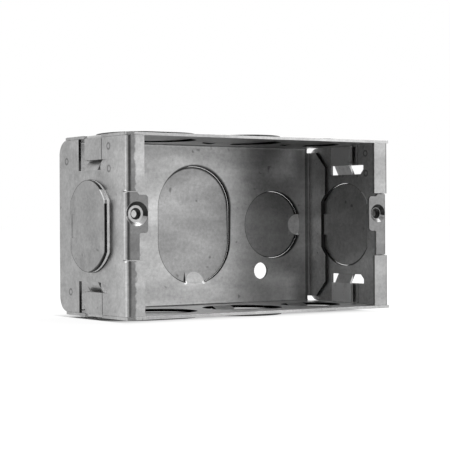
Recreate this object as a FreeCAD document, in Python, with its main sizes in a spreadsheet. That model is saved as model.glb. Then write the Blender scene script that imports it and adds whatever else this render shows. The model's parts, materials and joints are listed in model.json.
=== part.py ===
import FreeCAD, Part
import math
import os
import Sketcher

# Flush back box: three folded sheets spot-welded into a box that is open at the front.
# Lengths are measured in the box's own corner: X to the right from the left end's outer
# face, Y from the open front towards the back, Z up from the bottom wall's outer face.

SIZES = [
    # name, millimetres, what it sets
    ("width", 91.2, "outside, end to end"),
    ("height", 50.3, "outside, bottom wall to top wall"),
    ("depth", 38.0, "front edge to the back plate's outer face"),
    ("sheet", 0.8, "sheet thickness"),
    ("bend_radius", 0.6, "inside radius of every fold"),
    ("seat_gap", 0.05, "between sheets that seat on each other"),
    ("corner_radius", 4.2, "rear corners of the end plates"),
    ("corner_relief", 2.2, "openings where three sheets meet at the rear"),
    ("flange_depth", 9.2, "folded ends of the back plate, from its outer face"),
    ("flange_chamfer", 4.8, "slanted corners of those ends"),
    ("front_width", 5.5, "front flanges, from the end's outer face"),
    ("window_height", 18.6, "gap in the front flange that holds the lug"),
    ("lug_setback", 0.7, "lug's front face behind the front edge"),
    ("lug_reach", 7.0, "wide part of the lug, from the end's outer face"),
    ("lug_neck_reach", 4.3, "narrow part of the lug, from the end's outer face"),
    ("lug_wide_height", 11.0, "wide part of the lug"),
    ("lug_corner", 1.0, "rounded corners of the lug"),
    ("lug_step", 0.7, "step at the upper root of the lug"),
    ("lug_slit", 0.2, "shear gap above and below the lug"),
    ("screw_inset", 3.6, "plate screws' axes, from the ends' outer faces"),
    ("screw_offset", 3.3, "screw centres above mid-height"),
    ("screw_radius", 1.45, "minor radius of the screw thread"),
    ("collar_radius", 2.2, "outside of the extruded thread collar"),
    ("collar_length", 1.2, "thread collar behind the dimple"),
    ("left_dimple_radius", 3.3, "mouth of the left screw hole's dimple"),
    ("right_dimple_radius", 2.7, "mouth of the right screw hole's dimple"),
    ("dimple_slope", 1.0, "sloping part of the dimples, across"),
    ("dimple_depth", 0.9, "depth of the dimples"),
    ("tab_front", 13.7, "front edge of the hooked tabs"),
    ("tab_width", 9.5, "hooked tabs"),
    ("tab_height", 6.9, "hooked tabs, from the wall's outer face"),
    ("tab_side_gap", 0.25, "beside the tabs, in the end plates"),
    ("strip_front", 15.2, "front edge of the joggled strips"),
    ("strip_width", 9.5, "joggled strips"),
    ("strip_rear_slit", 1.9, "slit behind the joggled strips"),
    ("joggle", 1.5, "how far the strips are pushed inwards"),
    ("ramp_height", 2.8, "slope below each strip"),
    ("ramp_inset", 0.6, "slope set back from the strip's front edge"),
    ("ramp_width", 7.2, "slope below each strip"),
    ("relief_width", 2.7, "opening in front of each slope"),
    ("relief_slant", 1.4, "slanted corner of that opening"),
    ("shear_gap", 0.1, "round each knockout disc"),
    ("tie_width", 6.6, "tie that holds each disc"),
    ("tie_length", 3.2, "sloping length of each tie"),
    ("tie_root", 0.6, "flat ends of each tie"),
    ("tie_inset", 0.1, "ties bend this far inside the edge of the opening"),
    ("end_tie_lift", 0.6, "end knockouts stand out at their ties"),
    ("end_lift", 1.5, "their free edges stand out"),
    ("back_tie_lift", 0.7, "back knockouts stand out at their ties"),
    ("back_lift", 0.8, "their free edges stand out"),
    ("top_tie_lift", 0.4, "top knockouts stand out at their ties"),
    ("top_wide_lift", 0.9, "free edge of the top oblong knockout stands out"),
    ("top_large_lift", 1.0, "free edge of the large top knockout stands out"),
    ("top_small_lift", 0.8, "free edge of the small top knockout stands out"),
    ("bottom_wide_lift", 0.9, "bottom oblong knockout stands out, level all over"),
    ("bottom_large_lift", 1.1, "large bottom knockout stands out, level all over"),
    ("bottom_small_lift", 0.9, "small bottom knockout stands out, level all over"),
    ("end_margin", 12.3, "end knockouts, from the top and bottom walls' outer faces"),
    ("end_flat", 2.15, "what the flats cut off the end knockouts' radius"),
    ("end_centre_y", 20.05, "end knockouts, from the front edge"),
    ("oblong_radius", 12.95, "round ends of the oblong knockout in the back"),
    ("oblong_margin", 7.25, "it, from the top and bottom walls' outer faces"),
    ("back_web", 5.9, "between it and the round knockout"),
    ("conduit_radius", 10.5, "round knockout in the back"),
    ("conduit_inset", 16.2, "its centre, from the right end's outer face"),
    ("fixing_radius", 2.6, "fixing hole in the back"),
    ("fixing_inset", 20.7, "its centre, from the right end's outer face"),
    ("fixing_z", 10.7, "its centre"),
    ("wall_centre_y", 19.0, "top and bottom knockouts, from the front edge"),
    ("wide_margin", 2.8, "oblong knockouts there, from the left end's outer face"),
    ("wide_radius", 11.0, "their round ends"),
    ("wide_straight", 7.6, "their straight flanks"),
    ("wide_web", 6.4, "between them and the large round knockouts"),
    ("large_radius", 11.7, "large round knockouts in the top and bottom"),
    ("large_web", 4.8, "between them and the small round knockouts"),
    ("small_radius", 9.0, "small round knockouts in the top and bottom"),
    ("small_margin", 6.2, "them, from the right end's outer face"),
]


class Size:
    """A length that knows its value and its spreadsheet expression."""

    def __init__(self, value, text):
        self.value = value
        self.text = text

    def __add__(self, other):
        return Size(self.value + other.value, f"({self.text} + {other.text})")

    def __sub__(self, other):
        return Size(self.value - other.value, f"({self.text} - {other.text})")

    def __mul__(self, factor):
        factor = as_size(factor)
        return Size(self.value * factor.value, f"({self.text} * {factor.text})")

    def __truediv__(self, divisor):
        divisor = as_size(divisor)
        return Size(self.value / divisor.value, f"({self.text} / {divisor.text})")


def as_size(number):
    return number if isinstance(number, Size) else Size(number, str(number))


ZERO = Size(0.0, "0")


def half_chord(radius, across):
    """How far a chord of the given length lies from a circle's centre."""
    value = math.sqrt(radius.value ** 2 - (across.value / 2) ** 2)
    return Size(value, f"sqrt(({radius.text})^2 - ({across.text} / 2)^2)")


doc = FreeCAD.newDocument("flush_back_box")
table = doc.addObject("Spreadsheet::Sheet", "Sizes")
size = {}
for row, (name, value, note) in enumerate(SIZES, start=1):
    table.set(f"A{row}", name)
    table.set(f"B{row}", str(value))
    table.set(f"C{row}", note)
    table.setAlias(f"B{row}", name)
    size[name] = Size(value, f"Sizes.{name}")
doc.recompute()

width, height, depth = size["width"], size["height"], size["depth"]
sheet, bend, gap = size["sheet"], size["bend_radius"], size["seat_gap"]
outer_bend = sheet + bend
tie_width = size["tie_width"]
middle = height / 2
end_radius = middle - size["end_margin"]
end_half_width = end_radius - size["end_flat"]
UPRIGHT = FreeCAD.Vector(0, 0, 1)


# Drawings: every point is held by its distances from the sketch's origin

def bind(target, prop, length):
    """Tie a property to the spreadsheet."""
    target.setExpression(prop, length.text)


def vector(point):
    return FreeCAD.Vector(point[0].value, point[1].value, 0)


class Drawing:
    """Geometry and constraints that go into a sketch together."""

    def __init__(self):
        self.geometry = []
        self.constraints = []
        self.lengths = {}

    def shape(self, piece):
        self.geometry.append(piece)
        return len(self.geometry) - 1

    def relate(self, kind, *parts):
        self.constraints.append(Sketcher.Constraint(kind, *parts))

    def hold(self, kind, *parts):
        """A constraint whose last part is a length of the spreadsheet."""
        length = parts[-1]
        self.lengths[len(self.constraints)] = length
        self.relate(kind, *parts[:-1], length.value)

    def hold_point(self, piece, end, x, y):
        self.hold("DistanceX", -1, 1, piece, end, x)
        self.hold("DistanceY", -1, 1, piece, end, y)

    def line(self, first, last):
        piece = self.shape(Part.LineSegment(vector(first), vector(last)))
        self.hold_point(piece, 1, *first)
        self.hold_point(piece, 2, *last)

    def arc(self, first, last, centre, turn):
        """A round between two held points, anticlockwise where turn is positive."""
        start, stop = (first, last) if turn > 0 else (last, first)
        hub = vector(centre)
        begin = math.atan2(start[1].value - hub.y, start[0].value - hub.x)
        finish = math.atan2(stop[1].value - hub.y, stop[0].value - hub.x)
        if finish < begin:
            finish += 2 * math.pi
        circle = Part.Circle(hub, UPRIGHT, (vector(start) - hub).Length)
        piece = self.shape(Part.ArcOfCircle(circle, begin, finish))
        self.hold_point(piece, 1, *start)
        self.hold_point(piece, 2, *stop)
        if abs(start[1].value - stop[1].value) < 1e-6:
            self.hold("DistanceY", -1, 1, piece, 3, centre[1])
        else:
            self.hold("DistanceX", -1, 1, piece, 3, centre[0])

    def circle(self, centre, radius):
        piece = self.shape(Part.Circle(vector(centre), UPRIGHT, radius.value))
        self.hold_point(piece, 3, *centre)
        self.hold("Radius", piece, radius)

    def outline(self, corners):
        """A closed outline of corners (x, y), or (x, y, radius) where two legs meet squarely."""
        stretches = []
        for index, corner in enumerate(corners):
            here = corner[:2]
            if len(corner) == 2:
                stretches.append((here, here))
                continue
            radius = corner[2]
            back = step_towards(here, corners[index - 1])
            ahead = step_towards(here, corners[(index + 1) % len(corners)])
            first = (here[0] + radius * back[0], here[1] + radius * back[1])
            last = (here[0] + radius * ahead[0], here[1] + radius * ahead[1])
            centre = (first[0] + radius * ahead[0], first[1] + radius * ahead[1])
            self.arc(first, last, centre, ahead[0] * back[1] - ahead[1] * back[0])
            stretches.append((first, last))
        for index, (_, last) in enumerate(stretches):
            self.line(last, stretches[(index + 1) % len(stretches)][0])

    def oblong(self, centre, radius, straight, upright):
        """Two half rounds joined by straight flanks."""
        x, y = centre
        half = straight / 2
        if upright:
            hubs = [(x, y + half), (x, y - half)]
            rounds = [((x + radius, y + half), (x - radius, y + half)),
                      ((x - radius, y - half), (x + radius, y - half))]
        else:
            hubs = [(x + half, y), (x - half, y)]
            rounds = [((x + half, y - radius), (x + half, y + radius)),
                      ((x - half, y + radius), (x - half, y - radius))]
        for hub, (first, last) in zip(hubs, rounds):
            self.arc(first, last, hub, 1)
        self.line(rounds[0][1], rounds[1][0])
        self.line(rounds[1][1], rounds[0][0])

    def flattened(self, centre, radius, half_width):
        """A circle cut off by two upright flats."""
        x, y = centre
        half_angle = math.asin(half_width.value / radius.value)
        circle = Part.Circle(vector(centre), UPRIGHT, radius.value)
        arcs = []
        for begin in (math.pi / 2 - half_angle, 3 * math.pi / 2 - half_angle):
            piece = self.shape(Part.ArcOfCircle(circle, begin, begin + 2 * half_angle))
            self.hold_point(piece, 3, x, y)
            self.hold("Radius", piece, radius)
            arcs.append(piece)
        upper, lower = arcs
        for start, stop, side in ((upper, lower, -1), (lower, upper, 1)):
            flat = Part.LineSegment(self.geometry[start].EndPoint, self.geometry[stop].StartPoint)
            piece = self.shape(flat)
            self.relate("Coincident", start, 2, piece, 1)
            self.relate("Coincident", piece, 2, stop, 1)
            self.relate("Vertical", piece)
            self.hold("DistanceX", -1, 1, piece, 1, x + half_width * side)

    def put_in(self, sketch):
        sketch.addGeometry(self.geometry)
        sketch.addConstraint(self.constraints)
        for number, length in self.lengths.items():
            bind(sketch, f"Constraints[{number}]", length)


def step_towards(start, goal):
    """Unit step, along one sketch axis, from one corner to another."""
    across = goal[0].value - start[0].value
    up = goal[1].value - start[1].value
    length = math.hypot(across, up)
    return round(across / length), round(up / length)


# Features: each one runs between two levels along the normal of an origin plane

AXES = {"XY_Plane": "XY", "XZ_Plane": "XZ", "YZ_Plane": "YZ"}
NORMALS = {"XY_Plane": 1, "XZ_Plane": -1, "YZ_Plane": 1}     # along the third axis


def sketch_on(body, plane, name, level):
    """A sketch parallel to one of the body's own origin planes, at a level of its axis."""
    sketch = body.newObject("Sketcher::SketchObject", name)
    support = [item for item in body.Origin.OriginFeatures if item.Role == plane]
    sketch.AttachmentSupport = (support[0], "")
    sketch.MapMode = "FlatFace"
    bind(sketch, "AttachmentOffset.Base.z", level * NORMALS[plane])
    return sketch


def volume_of(body):
    return 0.0 if body.Shape.isNull() else body.Shape.Volume


def make(body, kind, name, sketch, drawing, length, backwards):
    """Draw in a sketch, and pad or pocket it by a length."""
    drawing.put_in(sketch)
    before = volume_of(body)
    feature = body.newObject(f"PartDesign::{kind}", f"{name}_{kind.lower()}")
    feature.Profile = sketch
    feature.Reversed = backwards
    bind(feature, "Length", length)
    sketch.Visibility = False
    doc.recompute()
    change = volume_of(body) - before
    if (change > 0) != (kind == "Pad") or abs(change) < 1e-6:
        raise RuntimeError(f"{feature.Name} changed the volume by {change:.4f} mm3")


def extrude(body, kind, plane, name, levels, *draws):
    """Pad or pocket what the draws put in one sketch, between two levels."""
    low, high = sorted(levels, key=lambda level: level.value)
    sketch = sketch_on(body, plane, f"{name}_sketch", low)
    drawing = Drawing()
    for draw in draws:
        draw(drawing)
    backwards = (NORMALS[plane] > 0) == (kind == "Pocket")
    make(body, kind, name, sketch, drawing, high - low, backwards)


def add(body, plane, name, levels, *draws):
    extrude(body, "Pad", plane, name, levels, *draws)


def cut(body, plane, name, levels, *draws):
    extrude(body, "Pocket", plane, name, levels, *draws)


def outline(corners):
    return lambda drawing: drawing.outline(corners)


def rectangle(low_x, high_x, low_y, high_y):
    return outline([(low_x, low_y), (high_x, low_y), (high_x, high_y), (low_x, high_y)])


def around(centre, length):
    """Two levels at equal distances from a centre."""
    return centre - length / 2, centre + length / 2


# Knockouts: sheared discs that lean outwards, each held by one sloping tie

class Wall:
    """A flat wall with knockouts: its origin plane, inner face and outward side."""

    def __init__(self, plane, inner, outward):
        self.plane = plane
        self.normal = (set("XYZ") - set(AXES[plane])).pop()
        self.inner = inner
        self.outward = outward

    def level(self, rise):
        """The level that lies a given height outside the wall's inner face."""
        return self.inner + rise * self.outward


class Disc:
    """A knockout's disc in one wall: how far it stands out at its tie and at its free edge."""

    def __init__(self, knockout, wall, tie_lift, free_lift):
        self.knockout = knockout
        self.wall = wall
        self.tie_lift = tie_lift
        self.free_lift = free_lift
        self.slope = (free_lift - tie_lift) / (knockout.top + knockout.reach)

    def lift(self, distance):
        """How far the inner face stands out, at a distance from the centre to the tie."""
        return self.tie_lift + (self.knockout.top - distance) * self.slope

    def pad(self, body, name):
        """The disc, padded outwards from a sketch that leans about its centre."""
        wall, knockout = self.wall, self.knockout
        outwards = wall.outward * NORMALS[wall.plane]
        sketch = sketch_on(body, wall.plane, f"{name}_sketch", wall.level(self.lift(ZERO)))
        hinge = FreeCAD.Vector(-knockout.along[1], knockout.along[0], 0) * outwards
        sketch.AttachmentOffset = FreeCAD.Placement(FreeCAD.Vector(),
                                                    FreeCAD.Rotation(hinge, 1))
        bind(sketch, "AttachmentOffset.Base.x", knockout.centre[0])
        bind(sketch, "AttachmentOffset.Base.y", knockout.centre[1])
        sketch.setExpression("AttachmentOffset.Rotation.Angle", f"atan({self.slope.text})")
        drawing = Drawing()
        knockout.draw(drawing, (ZERO, ZERO), knockout.radius - size["shear_gap"])
        make(body, "Pad", name, sketch, drawing, sheet, outwards < 0)

    def side_point(self, distance, rise):
        """A point of the tie's side view, in the coordinates of that view's plane."""
        knockout = self.knockout
        places = {self.wall.normal: self.wall.level(rise),
                  knockout.axis: knockout.place_along(distance)}
        return tuple(places[axis] for axis in AXES[knockout.side_plane])

    def tie(self, drawing):
        """The tie's side view, from the wall up to the disc."""
        knockout = self.knockout
        bend, top = knockout.bend, knockout.top
        tip = top - size["tie_root"]
        root = knockout.reach + size["tie_root"]
        drawing.outline([self.side_point(*corner) for corner in (
            (root, ZERO), (root, sheet), (bend, sheet), (top, self.lift(top) + sheet),
            (tip, self.lift(tip) + sheet), (tip, self.lift(tip)), (top, self.lift(top)),
            (bend, ZERO))])


class Knockout:
    """A form stamped into one wall, or into two opposite walls.

    draw(drawing, centre, radius) draws its outline. reach is its half length towards the
    tie, and along is the tie's direction in the wall's sketch.
    """

    def __init__(self, name, centre, draw, radius, reach, along, discs):
        self.name = name
        self.centre = centre
        self.draw = draw
        self.radius = radius
        self.reach = reach
        self.along = along
        self.bend = reach - radius + half_chord(radius, tie_width) - size["tie_inset"]
        self.top = self.bend - size["tie_length"]
        self.discs = [Disc(self, *disc) for disc in discs]
        wall = self.discs[0].wall
        self.axis = AXES[wall.plane][0 if along[0] else 1]
        self.side_plane = next(plane for plane, axes in AXES.items()
                               if set(axes) == {wall.normal, self.axis})

    def opening(self, drawing):
        self.draw(drawing, self.centre, self.radius)

    def place_along(self, distance):
        """The coordinate that lies a distance from the centre, towards the tie."""
        number = 0 if self.along[0] else 1
        return self.centre[number] + distance * self.along[number]

    def sides(self):
        """The levels of the tie's two sides."""
        return around(self.centre[1 if self.along[0] else 0], tie_width)

    def tie_room(self, drawing):
        """The strip of the disc that the tie takes up."""
        near, far = self.place_along(self.top), self.place_along(self.reach)
        left, right = self.sides()
        if self.along[0]:
            rectangle(near, far, left, right)(drawing)
        else:
            rectangle(left, right, near, far)(drawing)


def make_knockouts(body, name, knockouts, *holes):
    """Cut the openings and any holes, add the discs, cut the ties' rooms and add the ties."""
    discs = [disc for knockout in knockouts for disc in knockout.discs]
    plane = discs[0].wall.plane
    levels = [disc.wall.level(rise) for disc in discs
              for rise in (ZERO - sheet, disc.free_lift + sheet * 2)]
    levels.sort(key=lambda level: level.value)
    through = (levels[0], levels[-1])
    cut(body, plane, f"{name}_openings", through,
        *[knockout.opening for knockout in knockouts], *holes)
    for number, disc in enumerate(discs, start=1):
        disc.pad(body, f"{name}_disc_{number}")
    cut(body, plane, f"{name}_tie_rooms", through,
        *[knockout.tie_room for knockout in knockouts])
    for knockout in knockouts:
        add(body, knockout.side_plane, f"{knockout.name}_tie", knockout.sides(),
            *[disc.tie for disc in knockout.discs])


# Body channel: back plate, top wall and bottom wall folded from one sheet

ENDS = ((ZERO, 1), (width, -1))             # each end's outer face, and the way inwards
WALL_FACES = ((ZERO, 1), (height, -1))      # the bottom and top walls' outer faces


def inwards(end, corners):
    """An outline whose first values are distances inwards from an end."""
    face, side = end
    return outline([(face + corner[0] * side, *corner[1:]) for corner in corners])


def folded_walls(body):
    """The back plate with the top and bottom walls, one folded U along the width."""
    add(body, "YZ_Plane", "walls", (ZERO, width), outline([
        (ZERO, ZERO), (depth, ZERO, outer_bend), (depth, height, outer_bend), (ZERO, height),
        (ZERO, height - sheet), (depth - sheet, height - sheet, bend),
        (depth - sheet, sheet, bend), (ZERO, sheet)]))


def end_flanges(body):
    """Cut the sheet back at the rear corners and fold the back plate's ends forwards."""
    face = sheet + gap
    fold = face + outer_bend
    relief = size["corner_relief"]
    clear = depth - size["corner_radius"]
    cut(body, "XY_Plane", "rear_corners", (ZERO - sheet, height + sheet),
        *[inwards(end, [
            (ZERO - sheet, clear), (face, clear), (face, depth - relief),
            (fold, depth - relief), (fold, depth + sheet), (ZERO - sheet, depth + sheet)])
          for end in ENDS])
    front = depth - size["flange_depth"]
    low, high = relief + gap, height - relief - gap
    add(body, "XY_Plane", "flanges", (low, high), *[inwards(end, [
        (fold + sheet, depth), (face, depth, outer_bend), (face, front),
        (face + sheet, front), (face + sheet, depth - sheet, bend),
        (fold + sheet, depth - sheet)]) for end in ENDS])

    reach = size["flange_chamfer"]
    corners = [outline([
        (front, root + reach * sign), (front - sheet, root + reach * sign),
        (front - sheet, root - gap * sign), (front + reach, root - gap * sign),
        (front + reach, root)]) for root, sign in ((low, 1), (high, -1))]
    cut(body, "YZ_Plane", "flange_trims", (ZERO, width), *corners,
        lambda drawing: drawing.flattened((size["end_centre_y"], middle),
                                          end_radius, end_half_width))


def hooked_tabs(body):
    """Tabs folded from the ends of the walls, over the outsides of the end plates."""
    levels = (size["tab_front"], size["tab_front"] + size["tab_width"])
    height_of_tab = size["tab_height"]
    root = outer_bend + sheet
    pairs = [(end, wall) for end in ENDS for wall in WALL_FACES]
    cut(body, "XZ_Plane", "tab_roots", levels, *[inwards(end, [
        (ZERO - sheet, face - sheet * up), (outer_bend, face - sheet * up),
        (outer_bend, face + outer_bend * up), (ZERO - sheet, face + outer_bend * up)])
        for end, (face, up) in pairs])
    add(body, "XZ_Plane", "tabs", levels, *[inwards(end, [
        (root, face), (ZERO, face, outer_bend), (ZERO, face + height_of_tab * up),
        (sheet, face + height_of_tab * up), (sheet, face + sheet * up, bend),
        (root, face + sheet * up)]) for end, (face, up) in pairs])


def back_knockouts(body):
    """The oblong and the round knockout in the back, and the fixing hole."""
    wall = Wall("XZ_Plane", depth - sheet, 1)
    lifts = (size["back_tie_lift"], size["back_lift"])
    radius, round_radius = size["oblong_radius"], size["conduit_radius"]
    straight = height - (size["oblong_margin"] + radius) * 2
    round_x = width - size["conduit_inset"]
    oblong_x = round_x - round_radius - size["back_web"] - radius
    fixing = (width - size["fixing_inset"], size["fixing_z"])
    oblong = Knockout(
        "back_oblong", (oblong_x, middle),
        lambda drawing, centre, across: drawing.oblong(centre, across, straight, upright=True),
        radius, radius + straight / 2, (0, -1), [(wall, *lifts)])
    conduit = Knockout("back_conduit", (round_x, middle), Drawing.circle, round_radius,
                       round_radius, (1, 0), [(wall, *lifts)])
    make_knockouts(body, "back", [oblong, conduit],
                   lambda drawing: drawing.circle(fixing, size["fixing_radius"]))


def wall_knockouts(body):
    """A row of three knockouts, stamped alike into the top and the bottom.

    Their lengths in the spreadsheet are shares of the width that the strips between leave.
    """
    bottom = Wall("XY_Plane", sheet, -1)
    top = Wall("XY_Plane", height - sheet, 1)
    radii = size["wide_radius"] + size["large_radius"] + size["small_radius"]
    webs = size["wide_margin"] + size["wide_web"] + size["large_web"] + size["small_margin"]
    share = (width - webs) / (radii * 2 + size["wide_straight"])
    straight = size["wide_straight"] * share

    def oblong(drawing, centre, radius):
        drawing.oblong(centre, radius, straight, upright=False)

    knockouts = []
    start = size["wide_margin"]
    for form, draw, flank, web in (("wide", oblong, straight, size["wide_web"]),
                                   ("large", Drawing.circle, ZERO, size["large_web"]),
                                   ("small", Drawing.circle, ZERO, ZERO)):
        radius = size[f"{form}_radius"] * share
        half_length = radius + flank / 2
        level_lift = size[f"bottom_{form}_lift"]
        discs = [(bottom, level_lift, level_lift),
                 (top, size["top_tie_lift"], size[f"top_{form}_lift"])]
        knockouts.append(Knockout(form, (start + half_length, size["wall_centre_y"]), draw,
                                  radius, radius, (0, 1), discs))
        start = start + half_length * 2 + web
    make_knockouts(body, "wall", knockouts)


def body_channel():
    body = doc.addObject("PartDesign::Body", "body_channel")
    folded_walls(body)
    end_flanges(body)
    hooked_tabs(body)
    back_knockouts(body)
    wall_knockouts(body)
    return body


# End plates: a plate with a front flange, a screw lug, joggled strips and a knockout

class EndPlate:
    """One end plate, drawn with distances measured inwards from the box's end."""

    def __init__(self, name, end, dimple_radius):
        self.body = doc.addObject("PartDesign::Body", name)
        self.end = end
        self.dimple_radius = dimple_radius

    def inward(self, distance):
        return self.end[0] + distance * self.end[1]

    def plate(self):
        """The plate and its front flange, folded, with rounded rear corners."""
        flange = size["front_width"]
        seat = sheet + gap
        add(self.body, "XY_Plane", "plate", (seat, height - seat), inwards(self.end, [
            (ZERO, depth), (ZERO, ZERO, outer_bend), (flange, ZERO),
            (flange, sheet), (sheet, sheet, bend), (sheet, depth)]))
        base = self.body.Tip
        chosen = [f"Edge{number}" for number, edge in enumerate(base.Shape.Edges, start=1)
                  if self.is_rear_corner(edge)]
        rounding = self.body.newObject("PartDesign::Fillet", "rear_corners")
        rounding.Base = (base, chosen)
        bind(rounding, "Radius", size["corner_radius"])

    def is_rear_corner(self, edge):
        box = edge.BoundBox
        return box.YMin > depth.value - 1e-4 and box.ZLength < 1e-4

    def lug(self):
        """The screw lug, set back in a window of the front flange."""
        low, high = around(middle, size["window_height"])
        setback = size["lug_setback"]
        rear = setback + outer_bend
        beyond = size["front_width"] + sheet
        cut(self.body, "XY_Plane", "window", (low, high), inwards(self.end, [
            (ZERO - sheet, ZERO - sheet), (beyond, ZERO - sheet), (beyond, rear),
            (ZERO - sheet, rear)]))
        foot, head = low + size["lug_slit"], high - size["lug_slit"]
        root = outer_bend + sheet
        add(self.body, "XY_Plane", "lug_fold", (foot, head), inwards(self.end, [
            (ZERO, rear + sheet), (ZERO, setback, outer_bend), (root, setback),
            (root, setback + sheet), (sheet, setback + sheet, bend), (sheet, rear + sheet)]))
        corner = size["lug_corner"]
        neck, reach = size["lug_neck_reach"], size["lug_reach"]
        shoulder = head - size["lug_wide_height"]
        step = size["lug_step"]
        add(self.body, "XZ_Plane", "lug_face", (setback, setback + sheet), inwards(self.end, [
            (outer_bend, foot), (neck, foot), (neck, shoulder, corner / 2),
            (reach, shoulder, corner), (reach, head - step, corner), (neck, head - step),
            (neck - step, head), (outer_bend, head)]))

    def screw_hole(self):
        """The dimple and its thread collar, turned about the screw's axis."""
        centre = self.inward(size["screw_inset"])
        level = middle + size["screw_offset"]
        front = size["lug_setback"]
        mouth = self.dimple_radius
        cut(self.body, "XZ_Plane", "dimple", (front - sheet, front + sheet * 2),
            lambda drawing: drawing.circle((centre, level), mouth))
        floor = mouth - size["dimple_slope"]
        dip = front + size["dimple_depth"]
        end = dip + sheet + size["collar_length"]
        rim = mouth + gap * 2
        hole, collar = size["screw_radius"], size["collar_radius"]
        sketch = sketch_on(self.body, "XY_Plane", "collar_sketch", level)
        bind(sketch, "AttachmentOffset.Base.x", centre)
        drawing = Drawing()
        drawing.outline([
            (rim, front), (mouth, front), (floor, dip), (hole, dip), (hole, end),
            (collar, end), (collar, dip + sheet), (mouth, dip + sheet), (rim, front + sheet)])
        drawing.put_in(sketch)
        turned = self.body.newObject("PartDesign::Revolution", "collar")
        turned.Profile = sketch
        turned.ReferenceAxis = (sketch, ["V_Axis"])
        turned.Angle = 360
        sketch.Visibility = False

    def strips(self):
        """Strips pushed inwards to make room for the hooked tabs, with slopes and slits."""
        ledge = size["tab_height"]
        foot = ledge + size["ramp_height"]
        slant = size["relief_slant"]
        front = size["tab_front"] - size["tab_side_gap"]
        relief = front - size["relief_width"] + slant
        rear = size["strip_front"] + size["strip_width"] + size["strip_rear_slit"]
        cut(self.body, "YZ_Plane", "strip_openings",
            (self.inward(ZERO - sheet), self.inward(sheet * 2)),
            *[outline([(along, face + distance * up) for along, distance in (
                (relief, foot), (rear, foot), (rear, ZERO), (front, ZERO), (front, ledge),
                (relief - slant, ledge), (relief - slant, foot - slant))])
              for face, up in WALL_FACES])
        deep = size["joggle"]
        back = deep + sheet
        ramp_front = size["strip_front"] + size["ramp_inset"]
        add(self.body, "XZ_Plane", "ramps", (ramp_front, ramp_front + size["ramp_width"]),
            *[inwards(self.end, [(across, face + distance * up) for across, distance in (
                (ZERO, foot + sheet), (ZERO, foot), (deep, ledge), (deep, ledge - sheet),
                (back, ledge - sheet), (back, ledge), (sheet, foot), (sheet, foot + sheet))])
              for face, up in WALL_FACES])
        add(self.body, "XZ_Plane", "strips",
            (size["strip_front"], size["strip_front"] + size["strip_width"]),
            *[inwards(self.end, [(across, face + distance * up) for across, distance in (
                (deep, ledge), (deep, sheet + gap), (back, sheet + gap), (back, ledge))])
              for face, up in WALL_FACES])

    def end_knockout(self):
        wall = Wall("YZ_Plane", self.inward(sheet), -self.end[1])
        make_knockouts(self.body, "end", [Knockout(
            "end", (size["end_centre_y"], middle),
            lambda drawing, centre, radius: drawing.flattened(centre, radius,
                                                              radius - size["end_flat"]),
            end_radius, end_half_width, (1, 0),
            [(wall, size["end_tie_lift"], size["end_lift"])])])

    def build(self):
        self.plate()
        self.lug()
        self.screw_hole()
        self.strips()
        self.end_knockout()
        return self.body


# Assembly: the box stands on its bottom knockouts, centred over its own footprint

def place_in_frame(body):
    bind(body, "Placement.Base.x", ZERO - width / 2)
    bind(body, "Placement.Base.y", ZERO - (depth + size["back_lift"]) / 2)
    bind(body, "Placement.Base.z", size["bottom_large_lift"])


bodies = [
    body_channel(),
    EndPlate("left_end_plate", ENDS[0], size["left_dimple_radius"]).build(),
    EndPlate("right_end_plate", ENDS[1], size["right_dimple_radius"]).build(),
]
for body in bodies:
    place_in_frame(body)
doc.recompute()

for item in doc.Objects:
    if {"Invalid", "Error"} & set(item.State):
        raise RuntimeError(f"{item.Name} failed: {item.State}")
os.makedirs("parts", exist_ok=True)
for body in bodies:
    shape = body.Shape
    if shape.isNull() or not shape.isValid() or len(shape.Solids) != 1:
        raise RuntimeError(f"{body.Label} isn't one valid solid")
    shape.exportStep(f"parts/{body.Label}.step")
    box = shape.BoundBox
    print(f"{body.Label}: {shape.Volume:.1f} mm3, {box.XLength:.2f} x {box.YLength:.2f}"
          f" x {box.ZLength:.2f} mm")
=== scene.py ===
import functools
import json
import math
import operator

import bmesh
import bpy
from mathutils import Matrix, Vector


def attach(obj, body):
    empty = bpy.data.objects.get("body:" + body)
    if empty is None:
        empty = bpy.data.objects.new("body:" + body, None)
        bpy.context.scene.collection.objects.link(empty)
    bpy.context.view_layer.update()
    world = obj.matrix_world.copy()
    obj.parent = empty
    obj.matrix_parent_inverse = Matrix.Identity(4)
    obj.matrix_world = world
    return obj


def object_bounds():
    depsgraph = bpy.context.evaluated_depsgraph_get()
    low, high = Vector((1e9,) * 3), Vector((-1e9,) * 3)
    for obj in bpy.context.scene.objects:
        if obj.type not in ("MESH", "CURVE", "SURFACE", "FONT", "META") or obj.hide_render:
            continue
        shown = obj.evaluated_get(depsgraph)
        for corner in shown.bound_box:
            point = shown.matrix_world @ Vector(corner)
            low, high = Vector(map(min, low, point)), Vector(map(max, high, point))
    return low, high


# Flush back box of galvanised sheet steel on a plain pale floor. Lengths are in metres,
# apart from the places and limits of the marks on the box, which are in millimetres.

MM = 0.001
STEEL_GREY = 0.45
BRIGHTEST_GREY = 0.95

# Thread of the plate screws: M3.5 coarse
THREAD_PITCH = 0.6 * MM
THREAD_DEPTH = 0.37 * MM
STEPS_PER_TURN = 32

# Camera, fitted to the photograph. The lens is in mm, on a sensor 36 mm wide
CAMERA_PLACE = Vector((-239.9, -349.8, 27.5)) * MM
CAMERA_YAW = math.radians(34.35)
CAMERA_ROLL = math.radians(-0.30)
LENS = 115.2
LENS_SHIFT = -0.0091

# Light. A background strength of 1 is white, and the floor passes part of its own on
WORLD_LIGHT = 0.6
FLOOR_GLOW = 1.12
FLOOR_GLOW_SHARE = 0.8
DARK_SURROUND_GLOW = 0.33

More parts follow.
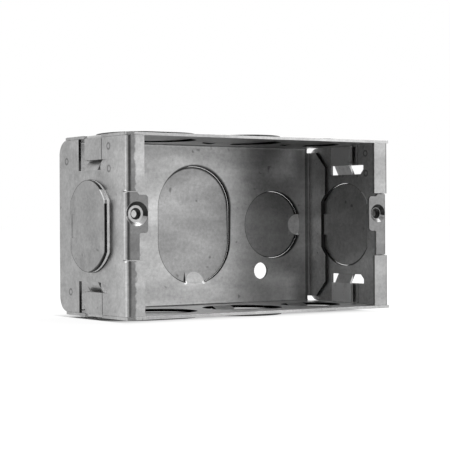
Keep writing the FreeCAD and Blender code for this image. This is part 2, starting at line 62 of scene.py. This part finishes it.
# Outlines on the box: the middle across and up, the radius, and half the length of the
# straight flanks, or the half width where flats cut the round
BACK_OBLONG = (0.05, 26.25, 12.95, 4.95)
BACK_ROUND = (29.4, 26.25, 10.5, 0.0)
LEVEL_ROW = ((-0.4, -28.0, 11.0, 3.8), (-0.4, 4.9, 11.7, 0.0), (-0.4, 30.4, 9.0, 0.0))
END_ROUND = (0.65, 26.25, 12.85, 10.7)
OBLONG_TIE = (0.05, 8.7, 3.3, 0.0)
ROUND_TIE = (39.4, 26.25, 3.3, 0.0)
UPPER_DARK_PATCH = (31.0, 44.0, 15.0, 0.0)
LOWER_DARK_PATCH = (38.0, 7.0, 15.0, 0.0)
DARK_PATCH_FADE = 1 / 1.6           # share of its radius over which a darker patch fades

# Places of small marks, across and up: painted highlights on the back at the ties' ends and
# on the ends at the lugs' slits, the screw holes at both sides of the middle, and the welds
# on the ends
TIE_END_HIGHLIGHTS = ((-3.25, 8.8), (3.35, 8.8), (39.4, 22.9))
SLIT_ENDS = ((-18.4, 35.5), (-18.4, 16.9))
SCREW = (42.0, 29.55)
WELDS = ((14.3, 44.6), (12.2, 7.6), (-9.6, 48.0), (-9.8, 41.9))

# The faces of the sheets start just outside these places along the depth, up or down from
# mid-height, and aside from the middle
BACK_START = 17.7
LEVEL_START = 24.1
END_START = 44.7
LUG_HALF = 9.3

# Lines along outlines, as the painted shadows round the knockouts: a line lies a little inside
# the outline, and fades this sharply
LINE_INSET = 0.08 * MM
LINE_SHARPNESS = 1.8
LINE_HALF_WIDTH = 0.28 * MM

# How far a face's direction lies along an axis: facing it, or turned edge-on to it
FACING = 0.9
EDGE_ON = 0.5


class Value:
    """A number on the surface, for which Python's operators make Math nodes.

    A comparison gives 1 or 0, & multiplies two such numbers, and | takes the greater.
    """

    def __init__(self, tree, socket):
        self.tree = tree
        self.socket = socket

    def maths(self, operation, *inputs):
        made = self.tree.nodes.new("ShaderNodeMath")
        made.operation = operation
        for socket, value in zip(made.inputs, inputs):
            if isinstance(value, Value):
                self.tree.links.new(value.socket, socket)
            else:
                socket.default_value = value
        return Value(self.tree, made.outputs[0])

    def __add__(self, other):
        return self.maths("ADD", self, other)

    def __sub__(self, other):
        return self.maths("SUBTRACT", self, other)

    def __rsub__(self, other):
        return self.maths("SUBTRACT", other, self)

    def __mul__(self, other):
        return self.maths("MULTIPLY", self, other)

    def __truediv__(self, other):
        return self.maths("DIVIDE", self, other)

    def __lt__(self, other):
        return self.maths("LESS_THAN", self, other)

    def __gt__(self, other):
        return self.maths("GREATER_THAN", self, other)

    def __and__(self, other):
        return self.maths("MULTIPLY", self, other)

    def __or__(self, other):
        return self.maths("MAXIMUM", self, other)

    def __abs__(self):
        return self.maths("ABSOLUTE", self)

    def clamped(self):
        return self.maths("MINIMUM", self | 0.0, 1.0)

    def within(self, low, high):
        return (self > low) & (self < high)


def greatest(values):
    return functools.reduce(operator.or_, values)


def fade(value, start, run):
    """0 up to a start and 1 from one run further on. A negative run goes the other way."""
    return ((value - start) / run).clamped()


def length(across, up):
    """The length of a step across and up."""
    squares = across * across + up * up
    return squares.maths("SQRT", squares)


def stadium(across, up, form):
    """How far a place lies outside a round or oblong outline, negative inside it."""
    middle_across, middle_up, radius, half = (value * MM for value in form)
    beyond = (abs(up - middle_up) - half) | 0.0
    return length(across - middle_across, beyond) - radius


def flattened(across, up, form):
    """The same for a round outline that is cut off by two flats."""
    middle_across, middle_up, radius, half = (value * MM for value in form)
    sideways = across - middle_across
    outside = length(sideways, up - middle_up) - radius
    return outside | (abs(sideways) - half)


def line_along(distance, half_width):
    """1 near an outline, fading to both sides."""
    away = abs(distance + LINE_INSET) / half_width
    return ((1.0 - away) * LINE_SHARPNESS).clamped()


def ring(across, up, place, radius, half_width):
    """A line round one place."""
    return line_along(stadium(across, up, (*place, radius, 0.0)), half_width)


def spots(across, up, places, radius):
    """A soft spot at each place."""
    return greatest(ring(across, up, place, 0.0, radius) for place in places)


def node(tree, kind, **sockets):
    """A shader node whose unlinked inputs are set by name."""
    made = tree.nodes.new(kind)
    for name, value in sockets.items():
        made.inputs[name.replace("_", " ")].default_value = value
    return made


def coordinates(tree):
    """The place and the direction of the surface, in the model's own axes."""
    made = tree.nodes.new("ShaderNodeTexCoord")
    return made.outputs["Object"], made.outputs["Normal"]


def split(tree, vector):
    """The three parts of a vector."""
    made = tree.nodes.new("ShaderNodeSeparateXYZ")
    tree.links.new(vector, made.inputs[0])
    return [Value(tree, part) for part in made.outputs]


def noise(tree, place, scale, detail=2.0, roughness=0.5):
    made = node(tree, "ShaderNodeTexNoise", Scale=scale, Detail=detail, Roughness=roughness)
    tree.links.new(place, made.inputs["Vector"])
    return Value(tree, made.outputs["Fac"])


def ramp(factor, *stops):
    """A colour ramp with stops of (position, grey)."""
    tree = factor.tree
    made = node(tree, "ShaderNodeValToRGB")
    elements = made.color_ramp.elements
    for element, (position, grey) in zip(elements, stops):
        element.position = position
        element.color = (grey, grey, grey, 1)
    tree.links.new(factor.socket, made.inputs["Fac"])
    return made.outputs["Color"]


def mix(tree, blend, factor, first, second):
    """Two colours mixed by a number or by a value on the surface."""
    made = tree.nodes.new("ShaderNodeMix")
    made.data_type = "RGBA"
    made.blend_type = blend
    if isinstance(factor, Value):
        tree.links.new(factor.socket, made.inputs["Factor"])
    else:
        made.inputs["Factor"].default_value = factor
    tree.links.new(first, made.inputs["A"])
    tree.links.new(second, made.inputs["B"])
    return made.outputs["Result"]


def flat_grey(tree, grey):
    made = tree.nodes.new("ShaderNodeRGB")
    made.outputs[0].default_value = (grey, grey, grey, 1)
    return made.outputs[0]


def bump(tree, height, normal, strength, distance):
    """A bump on top of the normal that comes in."""
    made = node(tree, "ShaderNodeBump", Strength=strength, Distance=distance)
    tree.links.new(height.socket, made.inputs["Height"])
    tree.links.new(normal, made.inputs["Normal"])
    return made.outputs["Normal"]


class Marks:
    """Where the steel's colour changes, as numbers from 0 to 1 over the surface: marks of the
    press, and painted light and shade.
    """

    def __init__(self, tree, low, high):
        self.tree = tree
        self.vector, direction = coordinates(tree)
        self.x, self.y, self.z = split(tree, self.vector)
        self.turn_x, self.turn_y, self.turn_z = split(tree, direction)
        self.edge_x, self.edge_y, self.edge_z = (
            abs(turn) < EDGE_ON for turn in (self.turn_x, self.turn_y, self.turn_z))

        self.up = abs(self.z - (low.z + high.z) / 2)
        self.aside = abs(self.x)
        self.behind_front = self.y - low.y
        self.is_back = self.y > BACK_START * MM
        self.is_inner_back = self.is_back & (self.turn_y < 0.0)
        self.is_level = self.up > LEVEL_START * MM
        self.is_end = self.aside > END_START * MM
        self.is_front = self.region(behind_front=1.1) & (self.turn_y < -FACING)
        self.is_outer_end = self.is_end & (abs(self.turn_x) > FACING)

        self.oblong = stadium(self.x, self.z, BACK_OBLONG)
        self.round = stadium(self.x, self.z, BACK_ROUND)
        self.end_round = flattened(self.y, self.z, END_ROUND)

    def region(self, **limits):
        """1 where each measure is below its limit, or between two, all in millimetres."""
        parts = []
        for name, limit in limits.items():
            measure = getattr(self, name)
            if isinstance(limit, tuple):
                parts.append(measure.within(limit[0] * MM, limit[1] * MM))
            else:
                parts.append(measure < limit * MM)
        return functools.reduce(operator.and_, parts)

    def shades(self):
        """Each mark with what it multiplies the steel's colour by, in order."""
        return (
            # Painted dark reflection on the left lug and along the left front fold
            (self.left_front_dark_reflection(), 0.46),
            # Painted shade on the right front flange, deeper on its lug
            (self.right_front_shade(), 0.78),
            (self.right_front_shade() & self.region(up=LUG_HALF), 0.65),
            # Along the front folds: a painted highlight, then a painted dark reflection
            (self.fold_reflections(0.86, 0.97), 1.4),
            (self.fold_reflections(0.3, 0.6), 0.5),
            # Painted shade on the back's two knockout discs, and painted light on their ties
            (self.is_back & (self.oblong < 0.0), 0.7),
            (self.is_back & (self.round < 0.0), 0.78),
            (self.tie(ROUND_TIE, self.round), 2.0),
            (self.tie(OBLONG_TIE, self.oblong), 1.35),
            # Darker patches on the inside of the back plate
            (self.dark_patch(UPPER_DARK_PATCH), 0.5),
            (self.dark_patch(LOWER_DARK_PATCH), 0.72),
            # Painted shade on the outer faces of the ends and their knockouts, and painted light
            # towards their fronts
            (self.is_outer_end, 0.88),
            (self.is_outer_end & (self.end_round < 0.0), 0.85),
            (self.is_outer_end & fade(self.y, -4 * MM, -12 * MM), 1.22),
            # Painted light on the insides of the ends, the inside of the bottom, and the
            # pushed-in strips and their slopes
            (self.inner_ends(), 1.6),
            (self.region(z=2) & (self.turn_z > FACING), 2.0),
            (self.strips(), 1.5),
            (self.welds(), 0.5),
            (self.region(aside=(42.5, 43.95), y=(16.9, 17.82)), 0.4),
            # Painted shadow round the knockouts
            (self.gap_shadows(), 0.12),
            # Painted shade on the dishes and in the screw bores
            (self.screw_hole_shade(), 0.10),
            # Sheared edges: the steel's own darker colour, deepened as painted shade
            (self.torn_edges_and_shade(), 0.08),
            # Edges of the end openings: darker bare steel, deepened as painted shade
            (self.slot_edges_and_shade(), 0.15),
            # Painted highlights at the ends of the back's ties
            (self.tie_end_highlights(), 3.0),
            # Painted glints on the ends' knockout rims and at the lugs' slits
            (self.glints(), 3.0),
        )

    def left_front_dark_reflection(self):
        """Painted dark reflection on the left lug's face, and on the band with a wavy edge along
        the left front fold.
        """
        lug = self.region(up=LUG_HALF, x=-38)
        wave = noise(self.tree, self.vector, 420.0, detail=3.0, roughness=0.6) * (2.4 * MM)
        band = fade(self.x - wave, -43.9 * MM, -0.5 * MM) & self.region(x=-40.5)
        return self.is_front & (lug | band)

    def right_front_shade(self):
        """Painted shade on the faces of the right front flange and lug."""
        return self.is_front & self.region(up=(0, 24.2)) & (self.x > 38 * MM)

    def fold_reflections(self, low_turn, high_turn):
        """A line along the end plates' front folds, where they turn by so much, for a painted
        highlight and a painted dark reflection on the folds.
        """
        return (self.region(behind_front=2.2, up=24.2) & (self.aside > 43 * MM)
                & abs(self.turn_x).within(low_turn, high_turn))

    def tie(self, form, outline):
        """The part of a knockout's disc that its tie holds to the back plate, for painted light
        on the tie.
        """
        return (self.is_inner_back & (stadium(self.x, self.z, form) < 0.0)
                & (outline < 0.1 * MM))

    def dark_patch(self, form):
        """A darker patch on the inside of the back plate that fades outwards."""
        run = form[2] * DARK_PATCH_FADE * MM
        return self.is_inner_back & fade(stadium(self.x, self.z, form), 0.0, -run)

    def inner_ends(self):
        """Painted light on the insides of the ends, with the back plate's folded ends."""
        return (self.aside > 43.1 * MM) & (self.x * self.turn_x < -35 * MM)

    def strips(self):
        """Painted light on the strips that are pushed inwards on the ends, and on their slopes.
        """
        strip = self.region(aside=(43.2, 43.4), up=(14, 24.1), y=6)
        slope = self.region(aside=(43.2, 45.5), y=(-5, 4)) & abs(self.turn_z).within(0.2, FACING)
        return (self.x * self.turn_x < 0.0) & (strip | slope)

    def welds(self):
        """Spot welds on the ends: each one a small ring."""
        return self.is_end & greatest(ring(self.y, self.z, place, 0.9, 0.35 * MM)
                                      for place in WELDS)

    def gap_shadows(self):
        """Painted shadow: a dark line round each knockout, in the gap between the disc and the
        sheet.
        """
        back = self.is_back & (self.cut(self.oblong, BACK_OBLONG, OBLONG_TIE, 0.5, 0.5)
                               | self.cut(self.round, BACK_ROUND, ROUND_TIE, 1.0, 0.0))
        level = self.is_level & greatest(
            line_along(stadium(self.y, self.x, form), LINE_HALF_WIDTH) for form in LEVEL_ROW)
        low_front = fade(self.z, 21 * MM, -4 * MM) & fade(self.y, 0.0, -4 * MM)
        ends = (self.is_end & line_along(self.end_round, low_front * (0.5 * MM) + 0.2 * MM)
                & (1.0 - self.glints()))
        return back | level | ends

    def cut(self, outline, form, tie, sideways, upwards):
        """A painted shadow line round a form in the back, wider towards one side and open at the
        tie.
        """
        across = self.x - form[0] * MM
        up = self.z - form[1] * MM
        towards = fade(across * sideways + up * upwards, 0.0, form[2] * MM)
        line = line_along(outline, towards * (0.8 * MM) + LINE_HALF_WIDTH)
        return line & (stadium(self.x, self.z, tie) > 0.0)

    def screw_hole_shade(self):
        """Painted shade on the upper side of the dishes, and in the threaded bores."""
        away = length(self.aside - SCREW[0] * MM, self.z - SCREW[1] * MM)
        dish = ((away < 3.3 * MM) & self.region(behind_front=(0.5, 1.7))
                & (self.turn_z < 0.15) & (self.turn_y > -0.93))
        bore = (away < 1.6 * MM) & self.region(behind_front=4)
        return dish | bore

    def torn_edges_and_shade(self):
        """The sheared edges round the knockouts and along the folded ends of the back: the bare
        steel's own darker colour, drawn near black as painted shade.
        """
        level = self.edge_z & self.region(up=(24.2, 25.3), aside=42, behind_front=(1, 34.8))
        back = self.is_back & self.edge_y & self.region(up=21, aside=41)
        folded = self.edge_x & self.region(aside=(43.9, 44.77), y=(9, 15), up=23.8)
        return level | back | folded

    def slot_edges_and_shade(self):
        """The sheared edges of the openings in the ends: the bare steel's own darker colour,
        deepened as painted shade.
        """
        return self.is_end & self.edge_x & self.region(up=(14, 24.4), y=(-9, 8))

    def tie_end_highlights(self):
        """Painted highlights where the ties of the back's knockouts end."""
        return self.is_inner_back & spots(self.x, self.z, TIE_END_HIGHLIGHTS, 0.7 * MM)

    def glints(self):
        """Painted glints: bright edges on the ends, at the upper front of the knockouts and at
        the slits' ends.
        """
        rim = line_along(self.end_round, 0.5 * MM) & self.region(z=(32.4, 36.2), y=-4)
        return self.is_end & (rim | spots(self.y, self.z, SLIT_ENDS, 0.6 * MM))


def galvanised_steel(low, high):
    """Zinc-coated steel: clouds drawn out along the rolling, fine grain and dark specks, with
    the marks on top, many of them painted light and shade.
    """
    material = bpy.data.materials.new("galvanised_steel")
    material.use_nodes = True
    tree = material.node_tree
    shader = tree.nodes["Principled BSDF"]
    marks = Marks(tree, low, high)

    rolled = node(tree, "ShaderNodeMapping", Scale=(0.3, 1.0, 1.0))
    tree.links.new(marks.vector, rolled.inputs["Vector"])
    rolled = rolled.outputs["Vector"]
    clouds = ramp(noise(tree, rolled, 180.0, detail=6.0, roughness=0.6),
                  (0.3, STEEL_GREY * 0.84), (0.7, STEEL_GREY * 1.18))
    mottle = ramp(noise(tree, marks.vector, 1100.0, detail=4.0, roughness=0.7),
                  (0.32, 0.76), (0.68, 1.0))
    specks = ramp(noise(tree, marks.vector, 420.0, detail=1.0), (0.2, 0.55), (0.27, 1.0))
    colour = mix(tree, "MULTIPLY", 1.0, clouds, mottle)
    colour = mix(tree, "MULTIPLY", 1.0, colour, specks)
    for mark, factor in marks.shades():
        marked = mix(tree, "MULTIPLY", 1.0, colour, flat_grey(tree, factor))
        colour = mix(tree, "MIX", mark, colour, marked)
    colour = mix(tree, "DARKEN", 1.0, colour, flat_grey(tree, BRIGHTEST_GREY))
    tree.links.new(colour, shader.inputs["Base Color"])

    polish = ramp(noise(tree, rolled, 150.0, detail=4.0), (0.3, 0.30), (0.7, 0.42))
    tree.links.new(polish, shader.inputs["Roughness"])
    shader.inputs["Metallic"].default_value = 1.0

    edges = node(tree, "ShaderNodeBevel", Radius=0.12 * MM)
    edges.samples = 4
    waves = bump(tree, noise(tree, rolled, 90.0), edges.outputs["Normal"],
                 strength=0.2, distance=0.3 * MM)
    grain = bump(tree, noise(tree, marks.vector, 1800.0, detail=3.0), waves,
                 strength=0.3, distance=0.02 * MM)
    tree.links.new(grain, shader.inputs["Normal"])
    return material


def show(name, data):
    """An object with this data, in the scene."""
    made = bpy.data.objects.new(name, data)
    bpy.context.collection.objects.link(made)
    return made


def thread(mount, material):
    """The thread's ridge in one screw mount's bore, as a coil of triangular section."""
    mesh = bmesh.new()
    middle = Vector(mount["pos_m"])
    bore = mount["dims"]["r_mm"] * MM
    half = THREAD_PITCH * 0.4
    run = mount["dims"]["length_mm"] * MM - 2 * half
    steps = int(run / THREAD_PITCH * STEPS_PER_TURN)
    section = [(bore, -half), (bore - THREAD_DEPTH, 0), (bore, half)]
    rings = []
    for step in range(steps + 1):
        angle = 2 * math.pi * step / STEPS_PER_TURN
        along = THREAD_PITCH * step / STEPS_PER_TURN - run / 2
        rings.append([mesh.verts.new(middle + Vector((
            radius * math.cos(angle), along + offset, radius * math.sin(angle))))
            for radius, offset in section])
    for first, second in zip(rings, rings[1:]):
        for corner in range(len(section)):
            following = (corner + 1) % len(section)
            mesh.faces.new((first[corner], first[following], second[following], second[corner]))
    mesh.faces.new(rings[0][::-1])
    mesh.faces.new(rings[-1])
    bmesh.ops.recalc_face_normals(mesh, faces=mesh.faces)
    name = mount["name"] + "_thread"
    data = bpy.data.meshes.new(name)
    mesh.to_mesh(data)
    mesh.free()
    data.materials.append(material)
    coil = show(name, data)
    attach(coil, "root")


def background_rays(tree):
    """1 for the rays that see the background: camera, glossy and transmission rays."""
    path = tree.nodes.new("ShaderNodeLightPath")
    return greatest(Value(tree, path.outputs[name])
                    for name in ("Is Camera Ray", "Is Glossy Ray", "Is Transmission Ray"))


def either(factor, first, second, output):
    """Sends the first shader out where the factor is 0, and the second where it is 1."""
    tree = factor.tree
    choice = tree.nodes.new("ShaderNodeMixShader")
    tree.links.new(factor.socket, choice.inputs["Fac"])
    tree.links.new(first.outputs[0], choice.inputs[1])
    tree.links.new(second.outputs[0], choice.inputs[2])
    tree.links.new(choice.outputs["Shader"], tree.nodes[output].inputs["Surface"])


def white_world():
    """White where it is seen or mirrored, and a plain grey light otherwise."""
    world = bpy.data.worlds.new("studio")
    bpy.context.scene.world = world
    world.use_nodes = True
    tree = world.node_tree
    light = tree.nodes["Background"]
    light.inputs["Color"].default_value = (1, 1, 1, 1)
    light.inputs["Strength"].default_value = WORLD_LIGHT
    seen = node(tree, "ShaderNodeBackground", Color=(1, 1, 1, 1), Strength=1.0)
    either(background_rays(tree), light, seen, "World Output")


def floor(low, high):
    """A pale floor that runs out of sight, keeps a soft shadow and is dark under the box."""
    half = 4.0
    data = bpy.data.meshes.new("floor")
    data.from_pydata([(-half, -half, low.z), (half, -half, low.z), (half, half, low.z),
                      (-half, half, low.z)], [], [(0, 1, 2, 3)])
    material = bpy.data.materials.new("pale_floor")
    material.use_nodes = True
    tree = material.node_tree
    shader = tree.nodes["Principled BSDF"]
    shader.inputs["Base Color"].default_value = (0.9, 0.9, 0.9, 1)
    shader.inputs["Roughness"].default_value = 0.9
    white = node(tree, "ShaderNodeEmission", Strength=FLOOR_GLOW)
    place, _ = coordinates(tree)
    x, y, _ = split(tree, place)
    covered = ((abs(x) < high.x - 4 * MM) & fade(y, low.y + 4 * MM, 16 * MM)
               & fade(y, high.y + 14 * MM, -12 * MM))
    share = background_rays(tree) * FLOOR_GLOW_SHARE & (1.0 - covered)
    either(share, shader, white, "Material Output")
    data.materials.append(material)
    show("floor", data)


def dark_surround(low):
    """The unlit side of the studio, seen by the metal alone: a low wall and dark ground."""
    steps = 12
    begin, end = math.radians(-58), math.radians(19)
    near, far, top = 0.12, 0.9, 0.5
    ground = low.z + 0.5 * MM
    rings = ((near, ground), (far, ground), (far, top))
    corners = []
    for step in range(steps + 1):
        angle = begin + (end - begin) * step / steps
        corners += [(radius * math.sin(angle), -radius * math.cos(angle), level)
                    for radius, level in rings]
    faces = []
    for step in range(steps):
        for start in range(step * len(rings), (step + 1) * len(rings) - 1):
            faces.append((start, start + 1, start + 1 + len(rings), start + len(rings)))
    data = bpy.data.meshes.new("dark_surround")
    data.from_pydata(corners, [], faces)
    material = bpy.data.materials.new("dark_surround")
    material.use_nodes = True
    tree = material.node_tree
    glow = node(tree, "ShaderNodeEmission", Strength=DARK_SURROUND_GLOW)
    tree.links.new(glow.outputs["Emission"], tree.nodes["Material Output"].inputs["Surface"])
    data.materials.append(material)
    surround = show("dark_surround", data)
    surround.visible_camera = False
    surround.visible_diffuse = False
    surround.visible_transmission = False
    surround.visible_shadow = False


def softbox(name, place, target, width, height, radiance):
    """A rectangular lamp of the given radiance."""
    data = bpy.data.lights.new(name, "AREA")
    data.shape = "RECTANGLE"
    data.size = width
    data.size_y = height
    data.energy = radiance * math.pi * width * height
    lamp = show(name, data)
    lamp.location = place
    lamp.rotation_euler = (Vector(target) - Vector(place)).to_track_quat("-Z", "Y").to_euler()


def camera():
    data = bpy.data.cameras.new("camera")
    data.sensor_width = 36
    data.lens = LENS
    data.shift_y = LENS_SHIFT
    data.clip_start = 0.01
    data.clip_end = 20
    eye = show("camera", data)
    turn = Matrix.Rotation(-CAMERA_YAW, 4, "Z")
    level = Matrix.Rotation(math.pi / 2, 4, "X")
    roll = Matrix.Rotation(CAMERA_ROLL, 4, "Z")
    eye.matrix_world = Matrix.Translation(CAMERA_PLACE) @ turn @ level @ roll
    bpy.context.scene.camera = eye


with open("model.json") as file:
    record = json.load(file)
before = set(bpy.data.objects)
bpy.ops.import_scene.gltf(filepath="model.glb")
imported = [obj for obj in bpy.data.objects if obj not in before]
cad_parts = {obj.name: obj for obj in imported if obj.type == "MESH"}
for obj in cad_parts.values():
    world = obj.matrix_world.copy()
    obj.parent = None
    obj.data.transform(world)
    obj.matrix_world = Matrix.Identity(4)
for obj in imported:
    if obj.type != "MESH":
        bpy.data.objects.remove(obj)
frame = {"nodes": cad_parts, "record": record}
cad_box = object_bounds()
low, high = cad_box

steel = galvanised_steel(low, high)
for name in ("body_channel", "left_end_plate", "right_end_plate"):
    for slot in frame["nodes"][name].material_slots:
        slot.material = steel
for mount in frame["record"]["mounts"]:
    if mount["kind"] == "threaded_hole":
        thread(mount, steel)

floor(low, high)
white_world()
dark_surround(low)
middle = (low + high) / 2
softbox("key", (0.25, -0.05, 0.65), middle, width=0.4, height=0.4, radiance=5.0)
softbox("fill", (0.75, -0.75, 0.2), middle, width=0.7, height=0.5, radiance=1.3)
camera()
bpy.context.scene.view_settings.view_transform = "Standard"
